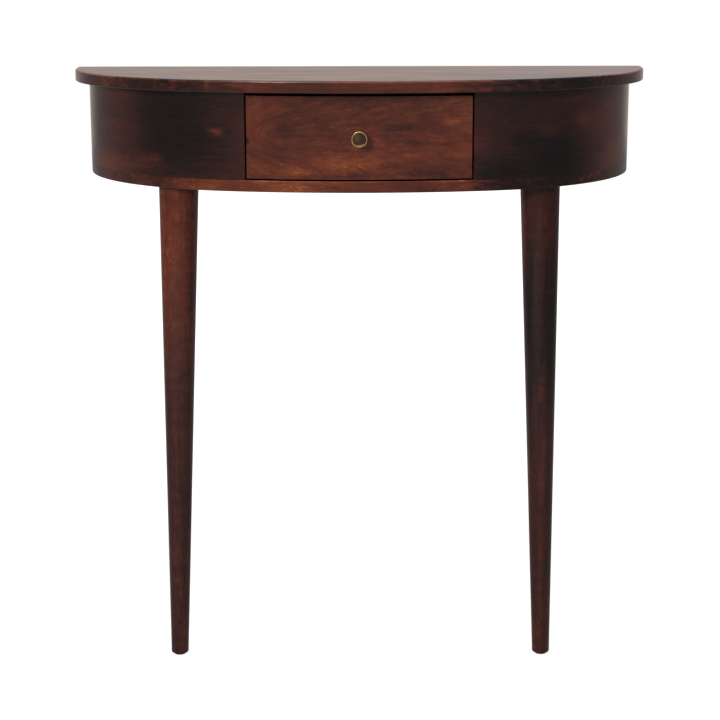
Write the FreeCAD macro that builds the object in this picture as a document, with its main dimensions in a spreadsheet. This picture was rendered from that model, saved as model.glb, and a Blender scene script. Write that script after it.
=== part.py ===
import FreeCAD, Part
import math
import os

import Sketcher

os.makedirs("parts", exist_ok=True)
doc = FreeCAD.newDocument("wall_console_table")

Vector = FreeCAD.Vector
UP = Vector(0, 0, 1)
TO_WALL = Vector(0, 1, 0)
TO_ROOM = Vector(0, -1, 0)
TO_RIGHT = Vector(1, 0, 0)
SIDES = {"left": -1, "right": 1}

# Driving sizes in millimetres, angles in degrees, shares without a unit
SIZES = {
    # Half-moon plan and overall height
    "table_width": 755,
    "table_depth": 300,
    "table_height": 760,
    "end_run": 6,
    "end_radius_share": 0.961,
    # Boards of the carcass
    "top_thickness": 15,
    "top_round": 3,
    "top_under_round": 1.5,
    "top_overhang": 18,
    "bay_height": 106.6,
    "board_thickness": 14,
    "board_round": 1.5,
    "board_edge_round": 0.5,
    "panel_thickness": 18,
    "panel_round": 0.8,
    "rail_thickness": 16,
    "opening_width_share": 0.3674,
    "divider_thickness": 15,
    "runner_width": 18,
    "runner_height": 6,
    "runner_setback": 4,
    "stop_thickness": 12,
    "stop_width": 24,
    "stop_height": 30,
    "stop_rise": 20,
    "cleat_width": 20,
    "cleat_length_share": 0.66,
    "cleat_setback": 12,
    "corner_block_width": 22,
    # Wall fixing
    "wall_hole_spacing": 160,
    "wall_hole_diameter": 5.5,
    "wall_sink_diameter": 11,
    "wall_hole_height_share": 0.6,
    # Legs and their fixings
    "leg_top_diameter": 50,
    "leg_foot_diameter": 22.5,
    "leg_foot_round": 2,
    "leg_edge_clearance": 10.5,
    "leg_angle": 54.8,
    "leg_splay": 1.15,
    "leg_trim": 2,
    "leg_block_width": 56,
    "leg_block_height": 18,
    "glide_diameter": 15,
    "glide_height": 2,
    "stud_diameter": 8,
    "stud_leg_depth": 42,
    "stud_clearance": 0.3,
    "stud_end": 2,
    "nut_flange_diameter": 14,
    "nut_flange_thickness": 1.2,
    "nut_barrel_diameter": 12,
    "nut_barrel_length": 13,
    # Dowels and screws
    "dowel_diameter": 8,
    "dowel_board_depth": 9,
    "dowel_panel_depth": 20,
    "dowel_first_angle": 12,
    "dowel_step_angle": 26,
    "screw_diameter": 4,
    "screw_head_diameter": 8,
    "screw_tip": 4,
    "screw_slot_width": 1,
    "screw_slot_length": 4.4,
    "screw_slot_depth": 1.6,
    "carcass_screw_length": 40,
    "cleat_screw_length": 29,
    "runner_screw_length": 16,
    # Drawer
    "drawer_side_gap": 1.8,
    "drawer_top_gap": 4,
    "drawer_bottom_gap": 2,
    "drawer_front_thickness": 18,
    "drawer_front_round": 1,
    "drawer_groove_depth": 5,
    "drawer_side_thickness": 12,
    "drawer_side_round": 1.5,
    "drawer_headroom": 8,
    "drawer_back_thickness": 12,
    "drawer_back_inset": 8,
    "drawer_back_drop": 6,
    "drawer_panel_thickness": 5,
    "drawer_panel_rise": 8,
    "pin_diameter": 1.6,
    "pin_length": 28,
    "panel_pin_length": 20,
    # Knob and its screw
    "knob_diameter": 19,
    "knob_projection": 18,
    "knob_foot_diameter": 11,
    "knob_foot_thickness": 2,
    "knob_stem_diameter": 8,
    "knob_head_thickness": 7.5,
    "knob_head_slope": 2,
    "knob_rim_width": 1.6,
    "knob_dish_depth": 1.2,
    "knob_round": 0.6,
    "knob_thread_depth": 10,
    "knob_screw_diameter": 4,
    "knob_screw_clearance": 0.3,
    "knob_screw_head_diameter": 7.5,
    "knob_screw_head_thickness": 2.6,
    "knob_screw_slot_width": 1,
    "knob_screw_slot_depth": 1.2,
    "knob_washer_diameter": 12,
    "knob_washer_thickness": 1,
    "knob_seat_depth": 1.5,
}

# Places worked out from the driving sizes
PLACES = {
    "half_width": "Sizes.table_width / 2",
    "wall_y": "Sizes.table_depth / 2",
    "front_y": "-Sizes.table_depth / 2",
    "curve_depth": "Sizes.table_depth - Sizes.end_run",
    "end_radius": "Sizes.end_radius_share * curve_depth",
    "front_radius": "(half_width ^ 2 + curve_depth ^ 2 - 2 * half_width * end_radius)"
                    " / (2 * (curve_depth - end_radius))",
    "end_centre_x": "half_width - end_radius",
    "end_centre_y": "wall_y - Sizes.end_run",
    "front_centre_y": "front_y + front_radius",
    "apron_inset": "Sizes.top_overhang",
    "bay_inset": "apron_inset + Sizes.panel_thickness",
    "front_inset": "apron_inset + Sizes.drawer_front_thickness",
    "groove_inset": "front_inset - Sizes.drawer_groove_depth",
    "top_low": "Sizes.table_height - Sizes.top_thickness",
    "board_top": "top_low - Sizes.bay_height",
    "board_low": "board_top - Sizes.board_thickness",
    "rail_front_y": "wall_y - Sizes.rail_thickness",
    "opening_half": "Sizes.opening_width_share * Sizes.table_width / 2",
    "divider_far": "opening_half + Sizes.divider_thickness",
    "divider_mid": "opening_half + Sizes.divider_thickness / 2",
    "divider_front_y": "front_centre_y - sqrt((front_radius - bay_inset) ^ 2 - divider_far ^ 2)",
    "divider_length": "rail_front_y - divider_front_y",
    "runner_mid": "opening_half - Sizes.runner_width / 2",
    "runner_top": "board_top + Sizes.runner_height",
    "runner_front_y": "front_centre_y - sqrt((front_radius - front_inset) ^ 2 - opening_half ^ 2)"
                      " + Sizes.runner_setback",
    "runner_length": "rail_front_y - runner_front_y",
    "cleat_far": "divider_far + Sizes.cleat_width",
    "cleat_mid": "divider_far + Sizes.cleat_width / 2",
    "cleat_low": "top_low - Sizes.cleat_width",
    "cleat_rear_y": "rail_front_y - Sizes.cleat_setback",
    "cleat_length": "Sizes.cleat_length_share * divider_length",
    "wall_hole_z": "board_top + Sizes.bay_height * Sizes.wall_hole_height_share",
    "leg_ring": "end_radius - apron_inset - Sizes.leg_edge_clearance - Sizes.leg_top_diameter / 2",
    "leg_x": "end_centre_x + leg_ring * cos(Sizes.leg_angle)",
    "leg_y": "end_centre_y - leg_ring * sin(Sizes.leg_angle)",
    "leg_length": "board_low - Sizes.glide_height",
    "foot_x": "leg_x + leg_length * tan(Sizes.leg_splay)",
    "block_top": "board_top + Sizes.leg_block_height",
    "stud_low": "board_low - Sizes.stud_leg_depth",
    "stud_top": "block_top + Sizes.nut_flange_thickness + Sizes.stud_end",
    "dowel_ring": "end_radius - apron_inset - Sizes.panel_thickness / 2",
    "drawer_half": "opening_half - Sizes.drawer_side_gap",
    "drawer_inner_half": "drawer_half - Sizes.drawer_side_thickness",
    "drawer_groove_half": "drawer_inner_half + Sizes.drawer_groove_depth",
    "drawer_side_top": "top_low - Sizes.drawer_headroom",
    "drawer_rear_y": "rail_front_y - Sizes.stop_thickness",
    "drawer_panel_low": "runner_top + Sizes.drawer_panel_rise",
    "drawer_panel_top": "drawer_panel_low + Sizes.drawer_panel_thickness",
    "drawer_back_rear_y": "drawer_rear_y - Sizes.drawer_back_inset",
    "drawer_back_front_y": "drawer_back_rear_y - Sizes.drawer_back_thickness",
    "drawer_back_mid_y": "drawer_back_rear_y - Sizes.drawer_back_thickness / 2",
    "drawer_back_top": "drawer_side_top - Sizes.drawer_back_drop",
    "face_y": "front_y + apron_inset",
    "face_low": "board_top + Sizes.drawer_bottom_gap",
    "face_top": "top_low - Sizes.drawer_top_gap",
    "knob_z": "(face_low + face_top) / 2",
    "knob_seat_y": "face_y + Sizes.drawer_front_thickness - Sizes.knob_seat_depth",
    "knob_head_y": "knob_seat_y + Sizes.knob_washer_thickness",
}


def fill_sheet(name, cells, mark):
    """Spreadsheet with one named cell per entry."""
    made = doc.addObject("Spreadsheet::Sheet", name)
    for row, (alias, content) in enumerate(cells.items(), start=1):
        made.set("A%d" % row, mark + str(content))
        made.setAlias("A%d" % row, alias)
    doc.recompute()
    return made


sizes = fill_sheet("Sizes", SIZES, "")
places = fill_sheet("Places", PLACES, "=")
nodes = {}


def node(name, item):
    """Give a finished sub-part the name of its file."""
    item.Label = name
    nodes[name] = item
    return item


def sided(side, text):
    """Expression on the left or the right of the middle plane."""
    return "%d * (%s)" % (side, text)


def place(item, spot):
    """Bind the position of an object to three expressions."""
    for axis, text in zip("xyz", spot):
        item.setExpression("Placement.Base." + axis, text)
    return item


def aim(item, direction):
    """Turn an object so that its own upright axis points along a direction."""
    item.Placement = FreeCAD.Placement(Vector(), FreeCAD.Rotation(UP, direction))
    return item


def box(name, low, high):
    """Box between two corners, each given as three expressions."""
    item = doc.addObject("Part::Box", name)
    for prop, start, end in zip(("Length", "Width", "Height"), low, high):
        item.setExpression(prop, "(%s) - (%s)" % (end, start))
    return place(item, low)


def side_box(name, side, near, far, low, high):
    """Box on one side, with near and far as its distances from the middle plane."""
    ends = [sided(side, near), sided(side, far)][::side]
    return box(name, (ends[0],) + low, (ends[1],) + high)


def cylinder(name, foot, diameter, length, direction=UP):
    """Round bar that starts at its foot and runs along a direction."""
    item = aim(doc.addObject("Part::Cylinder", name), direction)
    item.setExpression("Radius", "(%s) / 2" % diameter)
    item.setExpression("Height", length)
    return place(item, foot)


def common(name, first, second):
    """What two shapes share."""
    item = doc.addObject("Part::Common", name)
    item.Base = first
    item.Tool = second
    return item


def cut(base, *tools):
    """A shape less each of the tools."""
    for tool in tools:
        item = doc.addObject("Part::Cut", tool.Name + "_cut")
        item.Base = base
        item.Tool = tool
        base = item
    return base


def fuse(name, *shapes):
    """Shapes joined into one."""
    item = doc.addObject("Part::MultiFuse", name)
    item.Shapes = list(shapes)
    return item


def group(name, items):
    """Separate solids under one name."""
    item = doc.addObject("Part::Compound", name)
    item.Links = list(items)
    return item


def origin_plane(body, role):
    """One of the planes through the origin of a body."""
    return [item for item in body.Origin.OriginFeatures if item.Role == role][0]


def new_sketch(body, name, role):
    """Empty sketch on one of the planes of a body."""
    sketch = body.newObject("Sketcher::SketchObject", name)
    sketch.AttachmentSupport = [(origin_plane(body, role), "")]
    sketch.MapMode = "FlatFace"
    return sketch


def bind(sketch, name, kind, points, value, text):
    """Dimension of a sketch bound to an expression."""
    index = sketch.addConstraint(Sketcher.Constraint(kind, *points, value))
    sketch.renameConstraint(index, name)
    sketch.setExpression("Constraints." + name, text)


def half_oval(name, inset, low, high):
    """Half-moon slab: the plan of the top drawn in by an inset, between two heights."""
    body = doc.addObject("PartDesign::Body", name)
    sketch = new_sketch(body, name + "_plan", "XY_Plane")
    inward = getattr(places, inset) if inset else 0
    half = places.half_width - inward
    wall = places.wall_y
    run_end = places.end_centre_y
    end_radius = places.end_radius - inward
    front_radius = places.front_radius - inward
    spread = math.atan2(places.end_centre_x, places.front_radius - places.curve_depth)
    quarter = math.pi / 2

    def arc(x, y, radius, start, end):
        return Part.ArcOfCircle(Part.Circle(Vector(x, y, 0), UP, radius), start, end)

    sketch.addGeometry([
        Part.LineSegment(Vector(-half, wall, 0), Vector(half, wall, 0)),
        Part.LineSegment(Vector(half, wall, 0), Vector(half, run_end, 0)),
        arc(places.end_centre_x, run_end, end_radius, spread - quarter, 0),
        arc(0, places.front_centre_y, front_radius, -quarter - spread, -quarter + spread),
        arc(-places.end_centre_x, run_end, end_radius, math.pi, math.pi + quarter - spread),
        Part.LineSegment(Vector(-half, run_end, 0), Vector(-half, wall, 0)),
    ], False)
    back, right_run, right_arc, front_arc, left_arc, left_run = range(6)
    start, end = 1, 2
    origin, upright_axis = -1, -2
    sketch.addConstraint([
        Sketcher.Constraint("Coincident", back, end, right_run, start),
        Sketcher.Constraint("Tangent", right_run, end, right_arc, end),
        Sketcher.Constraint("Tangent", right_arc, start, front_arc, end),
        Sketcher.Constraint("Tangent", front_arc, start, left_arc, end),
        Sketcher.Constraint("Tangent", left_arc, start, left_run, start),
        Sketcher.Constraint("Coincident", left_run, end, back, start),
        Sketcher.Constraint("Vertical", right_run),
        Sketcher.Constraint("Vertical", left_run),
        Sketcher.Constraint("Symmetric", back, start, back, end, upright_axis),
        Sketcher.Constraint("Equal", right_run, left_run),
        Sketcher.Constraint("Equal", right_arc, left_arc),
    ])
    less = " - Places." + inset if inset else ""
    bind(sketch, "half", "DistanceX", (origin, 1, back, end), half, "Places.half_width" + less)
    bind(sketch, "wall", "DistanceY", (origin, 1, back, end), wall, "Places.wall_y")
    bind(sketch, "run", "DistanceY", (right_run, end, right_run, start), wall - run_end, "Sizes.end_run")
    bind(sketch, "end", "Radius", (right_arc,), end_radius, "Places.end_radius" + less)
    bind(sketch, "bow", "Radius", (front_arc,), front_radius, "Places.front_radius" + less)
    pad = body.newObject("PartDesign::Pad", name + "_pad")
    pad.Profile = sketch
    pad.setExpression("Length", "(%s) - (%s)" % (high, low))
    return place(body, ("0", "0", low))


def turned(name, profile):
    """Body turned about its own upright axis from a profile of radius and height expressions."""
    body = doc.addObject("PartDesign::Body", name)
    sketch = new_sketch(body, name + "_profile", "XZ_Plane")
    count = len(profile)
    spots = [Vector(math.cos(turn), 2 + math.sin(turn), 0)
             for turn in (2 * math.pi * step / count for step in range(count))]
    sketch.addGeometry([Part.LineSegment(spots[step], spots[(step + 1) % count])
                        for step in range(count)], False)
    sketch.addConstraint([Sketcher.Constraint("Coincident", step, 2, (step + 1) % count, 1)
                          for step in range(count)])
    for step, (radius, height) in enumerate(profile):
        for kind, text, axis in (("DistanceX", radius, -2), ("DistanceY", height, -1)):
            if text == "0":
                sketch.addConstraint(Sketcher.Constraint("PointOnObject", step, 1, axis))
            else:
                start = spots[step].x if kind == "DistanceX" else spots[step].y
                bind(sketch, "%s%s" % (kind, "abcdefghijklmnop"[step]), kind, (-1, 1, step, 1), start, text)
    turn = body.newObject("PartDesign::Revolution", name + "_turn")
    turn.Profile = sketch
    turn.ReferenceAxis = (sketch, ["V_Axis"])
    turn.Angle = 360
    doc.recompute()
    return body


def round_edges(body, name, pick, radius):
    """Round the picked edges of a body."""
    doc.recompute()
    last = body.Tip
    names = ["Edge%d" % count for count, edge in enumerate(last.Shape.Edges, start=1) if pick(edge)]
    fillet = body.newObject("PartDesign::Fillet", name)
    fillet.Base = (last, names)
    fillet.setExpression("Radius", radius)
    doc.recompute()
    return body


def body_from(name, source):
    """Body that starts from a finished shape."""
    doc.recompute()
    body = doc.addObject("PartDesign::Body", name)
    body.BaseFeature = source
    doc.recompute()
    return body


def at_height(low, high):
    """Pick the edges that lie between two heights."""
    return lambda edge: edge.BoundBox.ZMin > low and edge.BoundBox.ZMax < high


def inset_of(corner):
    """How far a point lies inside the outline of the top, seen from above."""
    x = abs(corner.X)
    if corner.Y > places.end_centre_y:
        return places.half_width - x
    ahead = places.front_centre_y - corner.Y
    if x * (places.front_centre_y - places.end_centre_y) < places.end_centre_x * ahead:
        return places.front_radius - math.hypot(x, ahead)
    return places.end_radius - math.hypot(x - places.end_centre_x, corner.Y - places.end_centre_y)


def outer_edge(edge):
    """Pick the edges of the outer face of an apron piece, but not the smooth seams across it."""
    half_way = places.apron_inset + min(sizes.panel_thickness, sizes.drawer_front_thickness) / 2
    outside = all(inset_of(corner) < half_way for corner in edge.Vertexes)
    upright = edge.BoundBox.ZLength > sizes.bay_height / 2
    past_opening = max(abs(edge.BoundBox.XMin), abs(edge.BoundBox.XMax)) > places.divider_mid
    return outside and not (upright and past_opening)


def screw(name, length):
    """Countersunk wood screw, plain for its hole and slotted as the piece itself."""
    head = "Sizes.screw_head_diameter / 2"
    shank = "Sizes.screw_diameter / 2"
    plain = turned(name, (("0", "0"), (head, "0"), (shank, "%s - %s" % (head, shank)),
                          (shank, "%s - Sizes.screw_tip" % length), ("0", length)))
    arm = "Sizes.screw_slot_length / 2"
    half = "Sizes.screw_slot_width / 2"
    depth = "Sizes.screw_slot_depth"
    slots = fuse(name + "_cross",
                 box(name + "_slot", ("-" + arm, "-" + half, "0"), (arm, half, depth)),
                 box(name + "_across", ("-" + half, "-" + arm, "0"), (half, arm, depth)))
    return plain, cut(plain, slots)


def set_out(name, master, spots):
    """Copies of one piece at a list of spots, each with its direction."""
    links = []
    for count, (spot, direction) in enumerate(spots):
        link = doc.addObject("App::Link", "%s_%d" % (name, count))
        link.LinkedObject = master
        links.append(place(aim(link, direction), spot))
    return group(name, links)


def screw_set(name, length, spots):
    """Screws as one sub-part, and the same screws without slots to bore their holes."""
    plain, slotted = screw(name + "_screw", length)
    node(name, set_out(name, slotted, spots))
    return set_out(name + "_bore", plain, spots)


# Upright slabs on the plan that trim the pieces to the curve
plan_apron = half_oval("plan_apron", "apron_inset", "0", "Sizes.table_height")
plan_bay = half_oval("plan_bay", "bay_inset", "0", "Sizes.table_height")
plan_front = half_oval("plan_front", "front_inset", "0", "Sizes.table_height")
plan_groove = half_oval("plan_groove", "groove_inset", "0", "Sizes.table_height")

# Screws of the carcass
along_divider_shares = (0.25, 0.75)
up_divider_shares = (0.25, 0.75)
divider_spots = []
for side in SIDES.values():
    x = sided(side, "Places.divider_mid")
    for share in along_divider_shares:
        y = "Places.rail_front_y - %s * Places.divider_length" % share
        divider_spots.append(((x, y, "Places.board_low"), UP))
    for share in up_divider_shares:
        z = "Places.board_top + %s * Sizes.bay_height" % share
        divider_spots.append(((x, "Places.wall_y", z), TO_ROOM))
carcass_bores = screw_set("carcass_screws", "Sizes.carcass_screw_length", divider_spots)

into_top_shares = (0.15, 0.85)
into_divider_shares = (0.35, 0.65)
cleat_spots = []
for side in SIDES.values():
    for share in into_top_shares:
        y = "Places.cleat_rear_y - %s * Places.cleat_length" % share
        cleat_spots.append(((sided(side, "Places.cleat_mid"), y, "Places.cleat_low"), UP))
    for share in into_divider_shares:
        y = "Places.cleat_rear_y - %s * Places.cleat_length" % share
        z = "Places.top_low - Sizes.cleat_width / 2"
        cleat_spots.append(((sided(side, "Places.cleat_far"), y, z), TO_RIGHT * -side))
cleat_bores = screw_set("cleat_screws", "Sizes.cleat_screw_length", cleat_spots)

along_runner_shares = (0.15, 0.85)
runner_spots = [
    ((sided(side, "Places.runner_mid"), "Places.rail_front_y - %s * Places.runner_length" % share,
      "Places.runner_top"), UP * -1)
    for side in SIDES.values() for share in along_runner_shares
]
runner_bores = screw_set("runner_screws", "Sizes.runner_screw_length", runner_spots)

# Dowels between the bottom board and the apron panels
dowels = []
for side_name, side in SIDES.items():
    for step in range(3):
        angle = "Sizes.dowel_first_angle + %d * Sizes.dowel_step_angle" % step
        x = sided(side, "Places.end_centre_x + Places.dowel_ring * cos(%s)" % angle)
        y = "Places.end_centre_y - Places.dowel_ring * sin(%s)" % angle
        dowels.append(cylinder("%s_dowel_%d" % (side_name, step),
                               (x, y, "Places.board_top - Sizes.dowel_board_depth"), "Sizes.dowel_diameter",
                               "Sizes.dowel_board_depth + Sizes.dowel_panel_depth"))
panel_dowels = node("panel_dowels", group("panel_dowels", dowels))

# Studs and nuts that hold the legs
studs = []
nuts = []
stud_bores = []
nut_bores = []
for side_name, side in SIDES.items():
    x = sided(side, "Places.leg_x")
    stud = cylinder(side_name + "_stud", (x, "Places.leg_y", "Places.stud_low"), "Sizes.stud_diameter",
                    "Places.stud_top - Places.stud_low")
    flange = cylinder(side_name + "_flange", (x, "Places.leg_y", "Places.block_top"),
                      "Sizes.nut_flange_diameter", "Sizes.nut_flange_thickness")
    barrel = cylinder(side_name + "_barrel",
                      (x, "Places.leg_y", "Places.block_top - Sizes.nut_barrel_length"),
                      "Sizes.nut_barrel_diameter", "Sizes.nut_barrel_length")
    studs.append(stud)
    nuts.append(cut(fuse(side_name + "_nut", flange, barrel), stud))
    nut_bores.append(barrel)
    stud_bores.append(cylinder(side_name + "_stud_bore", (x, "Places.leg_y", "Places.board_low"),
                               "Sizes.stud_diameter + 2 * Sizes.stud_clearance",
                               "Places.block_top - Places.board_low"))
node("hanger_bolts", group("hanger_bolts", studs))
node("insert_nuts", group("insert_nuts", nuts))

# Half-moon top with rounded arrises
top = half_oval("top_slab", "", "Places.top_low", "Sizes.table_height")
half_thickness = sizes.top_thickness / 2
round_edges(top, "top_upper_round", at_height(half_thickness, sizes.table_height), "Sizes.top_round")
round_edges(top, "top_lower_round", at_height(-half_thickness, sizes.top_under_round),
            "Sizes.top_under_round")
node("table_top", cut(top, cleat_bores))

# Half-moon bottom board, flush with the apron
board = half_oval("board_slab", "apron_inset", "Places.board_low", "Places.board_top")
round_edges(board, "board_lower_round", at_height(-half_thickness, sizes.board_thickness / 2),
            "Sizes.board_round")
round_edges(board, "board_upper_round", at_height(sizes.board_thickness / 2, sizes.table_height),
            "Sizes.board_edge_round")
node("bottom_board", cut(board, panel_dowels, carcass_bores, runner_bores, *stud_bores))

# Rail against the wall, with countersunk holes for the wall screws
rail_block = box("rail_block", ("-Places.half_width", "Places.rail_front_y", "Places.board_top"),
                 ("Places.half_width", "Places.wall_y", "Places.top_low"))
wall_holes = []
for side_name, side in SIDES.items():
    spot = (sided(side, "Sizes.wall_hole_spacing / 2"), "Places.rail_front_y", "Places.wall_hole_z")
    wall_holes.append(cylinder(side_name + "_wall_hole", spot, "Sizes.wall_hole_diameter",
                               "Sizes.rail_thickness", TO_WALL))
    sink = aim(doc.addObject("Part::Cone", side_name + "_wall_sink"), TO_WALL)
    sink.setExpression("Radius1", "Sizes.wall_sink_diameter / 2")
    sink.setExpression("Radius2", "Sizes.wall_hole_diameter / 2")
    sink.setExpression("Height", "(Sizes.wall_sink_diameter - Sizes.wall_hole_diameter) / 2")
    wall_holes.append(place(sink, spot))
node("back_rail", cut(common("rail_trimmed", rail_block, plan_bay), carcass_bores, *wall_holes))

# Curved panels, dividers, runners, cleats and blocks, alike on both sides
apron_ring = cut(plan_apron, plan_bay)
bay_low = "Places.board_top"
bay_high = "Places.top_low"
stops = []
glides = []
for side_name, side in SIDES.items():
    panel_block = side_box(side_name + "_panel_block", side, "Places.opening_half", "Places.half_width",
                           ("Places.front_y", bay_low), ("Places.wall_y", bay_high))
    panel_ring = common(side_name + "_panel_ring", apron_ring, panel_block)
    panel = body_from(side_name + "_panel_body", panel_ring)
    round_edges(panel, side_name + "_panel_round", outer_edge, "Sizes.panel_round")
    node(side_name + "_apron_panel", cut(panel, panel_dowels))

    divider_block = side_box(side_name + "_divider_block", side,
                             "Places.opening_half", "Places.divider_far",
                             ("Places.front_y", bay_low), ("Places.rail_front_y", bay_high))
    node(side_name + "_divider", cut(common(side_name + "_divider_trimmed", divider_block, plan_bay),
                                     carcass_bores, cleat_bores))

    runner = side_box(side_name + "_runner_strip", side, "Places.opening_half - Sizes.runner_width",
                      "Places.opening_half", ("Places.runner_front_y", "Places.board_top"),
                      ("Places.rail_front_y", "Places.runner_top"))
    node(side_name + "_runner", cut(runner, runner_bores))

    cleat = side_box(side_name + "_cleat_batten", side, "Places.divider_far", "Places.cleat_far",
                     ("Places.cleat_rear_y - Places.cleat_length", "Places.cleat_low"),
                     ("Places.cleat_rear_y", "Places.top_low"))
    node(side_name + "_top_cleat", cut(cleat, cleat_bores))

    corner = side_box(side_name + "_corner", side,
                      "Places.half_width - Places.bay_inset - Sizes.corner_block_width",
                      "Places.half_width",
                      ("Places.rail_front_y - Sizes.corner_block_width", bay_low),
                      ("Places.rail_front_y", bay_high))
    node(side_name + "_corner_block", common(side_name + "_corner_trimmed", corner, plan_bay))

    stops.append(side_box(side_name + "_stop", side, "Places.drawer_half - Sizes.stop_width",
                          "Places.drawer_half",
                          ("Places.drawer_rear_y", "Places.runner_top + Sizes.stop_rise"),
                          ("Places.rail_front_y",
                           "Places.runner_top + Sizes.stop_rise + Sizes.stop_height")))

    reach = "Sizes.leg_block_width / 2"
    leg_block = side_box(side_name + "_pad", side, "Places.leg_x - " + reach,
                         "Places.leg_x + " + reach, ("Places.leg_y - " + reach, "Places.board_top"),
                         ("Places.leg_y + " + reach, "Places.block_top"))
    bore = (side + 1) // 2
    node(side_name + "_leg_block", cut(common(side_name + "_pad_trimmed", leg_block, plan_bay),
                                       nut_bores[bore], stud_bores[bore]))

    # Turned leg, splayed outwards and cut level at both ends
    taper = doc.addObject("Part::Cone", side_name + "_taper")
    taper.setExpression("Radius1", "Sizes.leg_foot_diameter / 2")
    taper.setExpression("Radius2", "Sizes.leg_top_diameter / 2")
    taper.setExpression("Height", "Places.leg_length / cos(Sizes.leg_splay) + 2 * Sizes.leg_trim")
    taper.Placement = FreeCAD.Placement(Vector(), FreeCAD.Rotation(TO_ROOM * side, sizes.leg_splay))
    taper.setExpression("Placement.Rotation.Angle", "Sizes.leg_splay")
    place(taper, (sided(side, "Places.foot_x + Sizes.leg_trim * sin(Sizes.leg_splay)"), "Places.leg_y",
                  "Sizes.glide_height - Sizes.leg_trim * cos(Sizes.leg_splay)"))
    leg_space = side_box(side_name + "_leg_space", side, "0", "Places.half_width",
                         ("Places.front_y", "Sizes.glide_height"), ("Places.wall_y", "Places.board_low"))
    leg = body_from(side_name + "_leg_body", common(side_name + "_leg_level", taper, leg_space))
    round_edges(leg, side_name + "_foot_round", at_height(0, sizes.glide_height + sizes.leg_foot_round),
                "Sizes.leg_foot_round")
    node(side_name + "_leg", cut(leg, studs[bore]))
    glides.append(cylinder(side_name + "_glide", (sided(side, "Places.foot_x"), "Places.leg_y", "0"),
                           "Sizes.glide_diameter", "Sizes.glide_height"))
node("drawer_stops", group("drawer_stops", stops))
node("foot_glides", group("foot_glides", glides))

# Pins through the drawer sides and the drawer bottom into the drawer back
up_back_shares = (0.25, 0.75)
along_back_shares = (-0.7, 0, 0.7)
pins = []
for side_name, side in SIDES.items():
    for count, share in enumerate(up_back_shares):
        z = "Places.drawer_panel_top + %s * (Places.drawer_back_top - Places.drawer_panel_top)" % share
        pins.append(cylinder("%s_pin_%d" % (side_name, count),
                             (sided(side, "Places.drawer_half"), "Places.drawer_back_mid_y", z),
                             "Sizes.pin_diameter", "Sizes.pin_length", TO_RIGHT * -side))
for count, share in enumerate(along_back_shares):
    pins.append(cylinder("panel_pin_%d" % count,
                         ("%s * Places.drawer_inner_half" % share, "Places.drawer_back_mid_y",
                          "Places.drawer_panel_low"), "Sizes.pin_diameter", "Sizes.panel_pin_length"))
drawer_pins = node("drawer_pins", group("drawer_pins", pins))

# Drawer box: back and bottom let into the sides, sides and bottom let into the bow front
back_block = box("back_block",
                 ("-Places.drawer_groove_half", "Places.drawer_back_front_y", "Places.drawer_panel_top"),
                 ("Places.drawer_groove_half", "Places.drawer_back_rear_y", "Places.drawer_back_top"))
node("drawer_back", cut(back_block, drawer_pins))
panel_sheet = common("panel_sheet",
                     box("panel_block", ("-Places.drawer_groove_half", "Places.front_y",
                                         "Places.drawer_panel_low"),
                         ("Places.drawer_groove_half", "Places.drawer_rear_y", "Places.drawer_panel_top")),
                     plan_groove)
node("drawer_bottom", cut(panel_sheet, drawer_pins))
drawer_sides = []


def top_rail(edge):
    """Pick the long upper edges of a drawer side."""
    bounds = edge.BoundBox
    return bounds.ZMin > places.drawer_back_top and bounds.YLength > places.divider_length / 2


for side_name, side in SIDES.items():
    side_block = side_box(side_name + "_side_block", side, "Places.drawer_inner_half", "Places.drawer_half",
                          ("Places.front_y", "Places.runner_top"),
                          ("Places.drawer_rear_y", "Places.drawer_side_top"))
    side_board = common(side_name + "_side_trimmed", side_block, plan_groove)
    drawer_sides.append(side_board)
    jointed = body_from(side_name + "_side_body", cut(side_board, back_block, panel_sheet, drawer_pins))
    round_edges(jointed, side_name + "_side_round", top_rail, "Sizes.drawer_side_round")
    node("drawer_%s_side" % side_name, jointed)

face_block = box("face_block", ("-Places.drawer_half", "Places.front_y", "Places.face_low"),
                 ("Places.drawer_half", "Places.wall_y", "Places.face_top"))
face = body_from("face_body", common("face_ring", cut(plan_apron, plan_front), face_block))
round_edges(face, "face_round", outer_edge, "Sizes.drawer_front_round")
knob_bore = cylinder("knob_bore", ("0", "Places.face_y", "Places.knob_z"),
                     "Sizes.knob_screw_diameter + 2 * Sizes.knob_screw_clearance",
                     "Sizes.drawer_front_thickness", TO_WALL)
knob_seat = cylinder("knob_seat", ("0", "Places.knob_seat_y", "Places.knob_z"),
                     "Sizes.knob_washer_diameter + 2 * Sizes.knob_screw_clearance",
                     "Sizes.drawer_front_thickness", TO_WALL)
node("drawer_front", cut(face, *drawer_sides, panel_sheet, knob_bore, knob_seat))

# Brass knob with a raised rim round a shallow dish
knob_radius = "Sizes.knob_diameter / 2"
thread_radius = "Sizes.knob_screw_diameter / 2"
foot_radius = "Sizes.knob_foot_diameter / 2"
stem_radius = "Sizes.knob_stem_diameter / 2"
head_back = "Sizes.knob_projection - Sizes.knob_head_thickness"
dish_edge = knob_radius + " - Sizes.knob_rim_width"
dish_floor = "Sizes.knob_projection - Sizes.knob_dish_depth"
knob = turned("knob", (
    ("0", "Sizes.knob_thread_depth"),
    (thread_radius, "Sizes.knob_thread_depth"),
    (thread_radius, "0"),
    (foot_radius, "0"),
    (foot_radius, "Sizes.knob_foot_thickness"),
    (stem_radius, "Sizes.knob_foot_thickness"),
    (stem_radius, head_back),
    (knob_radius, head_back + " + Sizes.knob_head_slope"),
    (knob_radius, "Sizes.knob_projection"),
    (dish_edge, "Sizes.knob_projection"),
    (dish_edge + " - Sizes.knob_dish_depth", dish_floor),
    ("0", dish_floor),
))


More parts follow.
